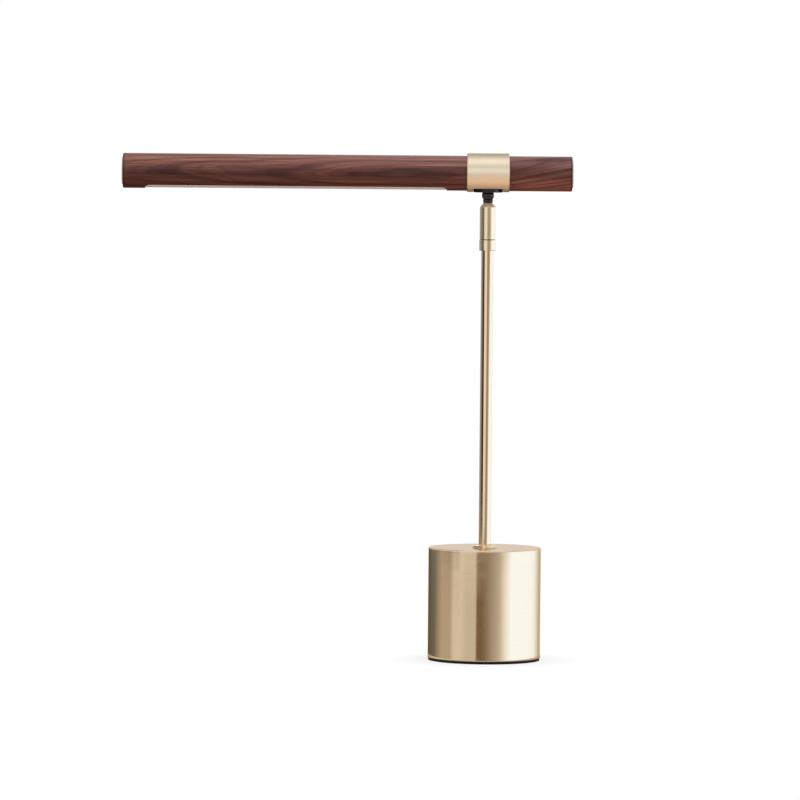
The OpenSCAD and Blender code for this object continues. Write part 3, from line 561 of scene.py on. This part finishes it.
def make_floor():
    """A round floor under the lamp."""
    turns = [2 * math.pi * i / FLOOR_SIDES for i in range(FLOOR_SIDES)]
    rim = [(FLOOR_RADIUS * math.cos(turn), FLOOR_RADIUS * math.sin(turn), 0) for turn in turns]
    mesh = bpy.data.meshes.new("floor")
    mesh.from_pydata(rim, [], [list(range(FLOOR_SIDES))])
    floor = bpy.data.objects.new("floor", mesh)
    bpy.context.scene.collection.objects.link(floor)
    mesh.materials.append(floor_finish())


def wall_ring(tree, degrees, walls):
    """The colours of a ring of walls, by the angle round the lamp."""
    share = maths(tree, "ADD", maths(tree, "DIVIDE", degrees, 360), 0.5)
    return ramp(tree, share, [(angle / 360 + 0.5, colour) for angle, colour in walls])


def studio(tree, degrees, right, forward, up):
    """The studio's colour in a direction from the lamp, by its angle round the lamp and its three parts."""
    low = wall_ring(tree, degrees, LOW_WALLS)
    high = wall_ring(tree, degrees, HIGH_WALLS)
    room = mix(tree, smooth_step(tree, up, *RING_CHANGE), low, high)
    for start, whole, colour in LEVELS:
        room = mix(tree, smooth_step(tree, up, start, whole), room, colour)
    back = smooth_step(tree, forward, *BACK)
    below = maths(tree, "MULTIPLY", back, smooth_step(tree, up, *BACK_GROUND))
    room = mix(tree, below, room, UNDERSIDE)
    back_ceiling = mix(tree, smooth_step(tree, right, *BACK_SIDES), BACK_LEFT, BACK_RIGHT)
    back_ceiling = mix(tree, band(tree, right, *CORNER), back_ceiling, BACK_CORNER)
    above = maths(tree, "MULTIPLY", back, smooth_step(tree, up, *BACK_CEILING))
    room = mix(tree, above, room, back_ceiling)
    opening = maths(
        tree, "MULTIPLY", band(tree, degrees, *OPENING_WIDTH), band(tree, up, *OPENING_HEIGHT))
    return mix(tree, opening, room, DOORWAY)


def make_world():
    """The studio as the lamp sees it. The camera sees white, as metal does right behind the lamp."""
    world = bpy.data.worlds.new("studio")
    bpy.context.scene.world = world
    world.use_nodes = True
    tree = world.node_tree
    tree.nodes.clear()
    right, forward, up = split(tree, add(tree, "ShaderNodeTexCoord").outputs["Generated"])
    towards = maths(tree, "MULTIPLY", forward, -1.0)
    degrees = maths(tree, "DEGREES", maths(tree, "ARCTAN2", right, towards))
    room = studio(tree, degrees, right, forward, up)
    path = add(tree, "ShaderNodeLightPath").outputs
    behind = smooth_step(tree, maths(tree, "ABSOLUTE", degrees), *BACKDROP_SIDES)
    behind = maths(tree, "MULTIPLY", behind, band(tree, up, *BACKDROP_HEIGHT))
    mirrored = maths(tree, "MULTIPLY", path["Is Glossy Ray"], behind)
    white = maths(tree, "MAXIMUM", straight_view(tree, path), mirrored)
    colour = mix(tree, white, room, BACKDROP)
    background = add(tree, "ShaderNodeBackground", {0: colour, 1: 1.0})
    add(tree, "ShaderNodeOutputWorld", {0: background.outputs[0]})


def make_softbox(name, place_at, aim, width, height, radiance):
    """A rectangular lamp at a place, aimed at a point, with the radiance of its face."""
    lamp = bpy.data.lights.new(name, "AREA")
    lamp.shape = "RECTANGLE"
    lamp.size = width
    lamp.size_y = height
    lamp.energy = radiance * math.pi * width * height
    holder = bpy.data.objects.new(name, lamp)
    holder.location = place_at
    holder.rotation_mode = "QUATERNION"
    holder.rotation_quaternion = (Vector(aim) - Vector(place_at)).to_track_quat("-Z", "Y")
    bpy.context.scene.collection.objects.link(holder)


def make_camera():
    """The photograph's camera: far off, a little above the lamp, and rolled a little."""
    data = bpy.data.cameras.new("camera")
    data.sensor_width = SENSOR
    data.lens = PIXELS_PER_METRE * CAMERA_DISTANCE * SENSOR / IMAGE_SIDE
    camera = bpy.data.objects.new("camera", data)
    bpy.context.scene.collection.objects.link(camera)
    bpy.context.scene.camera = camera
    elevation = math.radians(CAMERA_ELEVATION)
    half = IMAGE_SIDE / 2
    aim_x = -(BASE_AXIS_PIXEL - half) / PIXELS_PER_METRE
    aim_z = drum_high.z + (BASE_TOP_PIXEL - half) / PIXELS_PER_METRE / math.cos(elevation)
    back = Vector((0, -math.cos(elevation), math.sin(elevation)))
    level = (-back).to_track_quat("-Z", "Y")
    roll = Matrix.Rotation(math.radians(CAMERA_ROLL), 3, "Z").to_quaternion()
    camera.rotation_mode = "QUATERNION"
    camera.rotation_quaternion = level @ roll
    camera.location = Vector((aim_x, 0, aim_z)) + back * CAMERA_DISTANCE


make_floor()
make_world()
make_softbox(
    "overhead", place_at=(-0.3, -0.4, 1.7), aim=(-0.1, 0, 0.3), width=1.6, height=1.2, radiance=0.5)
make_camera()
bpy.context.scene.view_settings.view_transform = "Standard"
